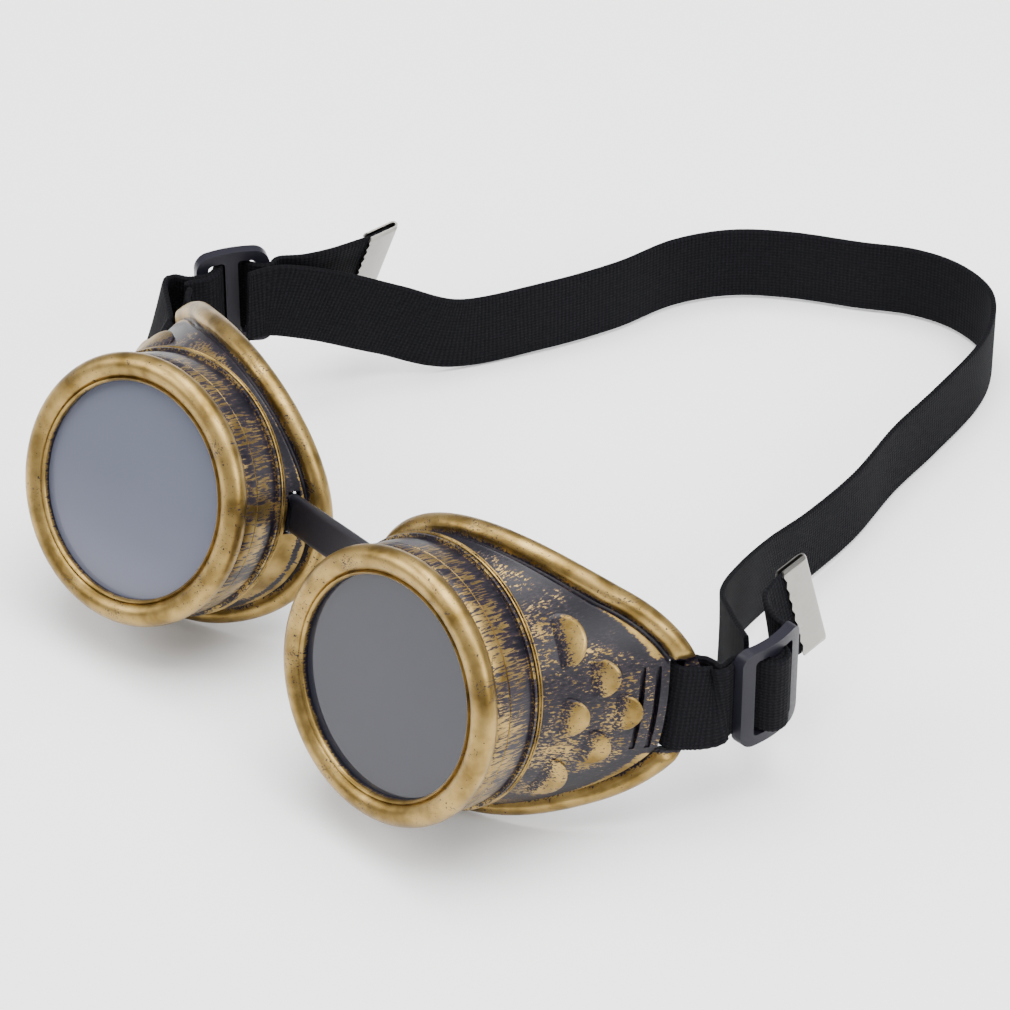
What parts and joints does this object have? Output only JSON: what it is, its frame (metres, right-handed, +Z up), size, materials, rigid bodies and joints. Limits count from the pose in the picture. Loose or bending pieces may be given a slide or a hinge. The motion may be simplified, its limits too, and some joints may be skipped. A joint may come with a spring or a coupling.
{
  "type": "welding goggles",
  "caption": "Round-lens welding goggles with screw-on lens rings, flared vented eye cups, a rubber nose bridge and an adjustable elastic head strap.",
  "frame": {"origin": "on the table, under the middle of the overall bounding box", "axes": "+Z up, the lenses look towards -Y, +X is the wearer's left, +Y runs along the strap to the back of the head"},
  "size_m": [0.1877, 0.2253, 0.0659],
  "materials": {
    "antique_brass": "moulded plastic with rubbed antique-brass paint",
    "smoke_lens": "grey tinted",
    "clear_lens": "clear",
    "gasket_rubber": "matte",
    "bridge_rubber": "satin",
    "webbing": "ribbed elastic",
    "slider_plastic": "satin",
    "tip_metal": "brushed nickel"
  },
  "bodies": {
    "left_cup": {"left_eye_cup": "antique_brass", "nose_bridge": "bridge_rubber", "head_strap": "webbing", "left_strap_loop": "webbing"},
    "right_cup": {"right_eye_cup": "antique_brass", "right_strap_loop": "webbing"},
    "left_lenses": {"left_filter_lens": "smoke_lens", "left_cover_lens": "clear_lens", "left_lens_gasket": "gasket_rubber"},
    "left_ring": {"left_lens_ring": "antique_brass"},
    "left_slider": {"left_slider": "slider_plastic", "left_strap_tail": "webbing", "left_strap_tip": "tip_metal"},
    "right_lenses": {"right_filter_lens": "smoke_lens", "right_cover_lens": "clear_lens", "right_lens_gasket": "gasket_rubber"},
    "right_ring": {"right_lens_ring": "antique_brass"},
    "right_slider": {"right_slider": "slider_plastic", "right_strap_tail": "webbing", "right_strap_tip": "tip_metal"}
  },
  "joints": [
    {"name": "bridge_flex", "type": "hinge", "parent": "left_cup", "child": "right_cup", "pos_m": [0.0041, -0.0755, 0.037], "axis": [0, 0, 1], "range_deg": [-18, 18], "stiffness_Nm_per_rad": 0.3, "deforming": ["nose_bridge", "head_strap"]},
    {"name": "left_lens_slide", "type": "slide", "parent": "left_cup", "child": "left_lenses", "axis": [0.0502, -0.9585, 0.2807], "range_m": [0, 0.006]},
    {"name": "left_ring_turn", "type": "hinge", "parent": "left_lenses", "child": "left_ring", "pos_m": [0.04741, -0.09302, 0.03611], "axis": [0.0502, -0.9585, 0.2807], "range_deg": [0, 720]},
    {"name": "left_slider_slide", "type": "slide", "parent": "left_cup", "child": "left_slider", "axis": [-0.0698, 0.9976, 0], "range_m": [-0.008, 0], "deforming": ["left_strap_loop", "head_strap"]},
    {"name": "right_lens_slide", "type": "slide", "parent": "right_cup", "child": "right_lenses", "axis": [0.1606, -0.9015, 0.4019], "range_m": [0, 0.006]},
    {"name": "right_ring_turn", "type": "hinge", "parent": "right_lenses", "child": "right_ring", "pos_m": [-0.03685, -0.09347, 0.03646], "axis": [0.1606, -0.9015, 0.4019], "range_deg": [0, 720]},
    {"name": "right_slider_slide", "type": "slide", "parent": "right_cup", "child": "right_slider", "axis": [0.4191, 0.908, 0], "range_m": [-0.008, 0], "deforming": ["right_strap_loop", "head_strap"]}
  ],
  "couplings": [
    {"joint": "left_lens_slide", "follows": "left_ring_turn", "m_per_rad": 0.000477},
    {"joint": "right_lens_slide", "follows": "right_ring_turn", "m_per_rad": 0.000477}
  ]
}
